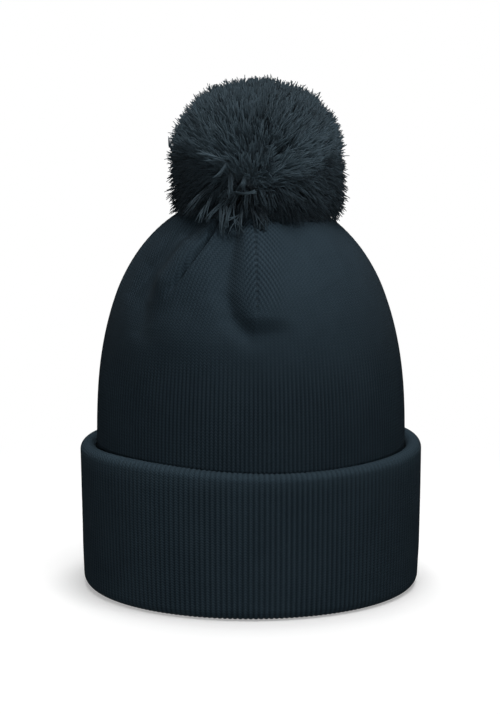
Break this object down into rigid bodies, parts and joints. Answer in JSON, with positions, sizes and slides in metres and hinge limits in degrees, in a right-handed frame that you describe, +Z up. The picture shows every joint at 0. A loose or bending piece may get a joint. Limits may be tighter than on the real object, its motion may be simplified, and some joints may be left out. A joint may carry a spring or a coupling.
{
  "type": "beanie",
  "caption": "Cuffed double-layer knitted beanie with a ball of cut yarn tied to its crown; the cuff turns down and the pom rocks and twists.",
  "frame": {"origin": "middle of the flat bottom of the cuff's fold, on the surface that the hat stands on", "axes": "+Z up to the pom; the front of the hat faces -Y; +X is to the right seen from the front"},
  "size_m": [0.1808, 0.2098, 0.267],
  "materials": {
    "body_knit": "matte",
    "lining_knit": "matte",
    "cuff_knit": "matte",
    "seam_thread": "matte",
    "tie_cord": "matte",
    "pom_yarn": "matte",
    "label_cloth": "satin"
  },
  "bodies": {
    "cuff": {"cuff_outer_layer": "cuff_knit", "cuff_inner_layer": "cuff_knit", "bottom_fold": "cuff_knit"},
    "crown": {"outer_knit_layer": "body_knit", "inner_knit_layer": "lining_knit", "dart_seam_front": "seam_thread", "dart_seam_right": "seam_thread", "dart_seam_back": "seam_thread", "dart_seam_left": "seam_thread", "lining_dart_seams": "seam_thread", "crown_gather_thread": "seam_thread", "lining_gather_thread": "seam_thread", "tie_anchor_knot": "tie_cord", "label_stitches": "seam_thread"},
    "pom_neck": {"pom_tie": "tie_cord"},
    "pom_waist": {"pom_binding": "tie_cord"},
    "pom": {"pom_yarn": "pom_yarn"},
    "label": {"care_label": "label_cloth"}
  },
  "joints": [
    {"name": "cuff_turn_down", "type": "slide", "parent": "cuff", "child": "crown", "axis": [0, 0, 1], "range_m": [0, 0.06]},
    {"name": "pom_rock_x", "type": "hinge", "parent": "crown", "child": "pom_neck", "pos_m": [0, 0, 0.208], "axis": [1, 0, 0], "range_deg": [-15, 15], "stiffness_Nm_per_rad": 0.06},
    {"name": "pom_rock_y", "type": "hinge", "parent": "pom_neck", "child": "pom_waist", "pos_m": [0, 0, 0.208], "axis": [0, 1, 0], "range_deg": [-15, 15], "stiffness_Nm_per_rad": 0.06},
    {"name": "pom_twist", "type": "hinge", "parent": "pom_waist", "child": "pom", "pos_m": [0, 0, 0.208], "axis": [0, 0, 1], "range_deg": [-30, 30], "stiffness_Nm_per_rad": 0.02},
    {"name": "label_flap", "type": "hinge", "parent": "crown", "child": "label", "pos_m": [0, 0.0857, 0.116], "axis": [-1, 0, 0], "range_deg": [0, 80]}
  ]
}
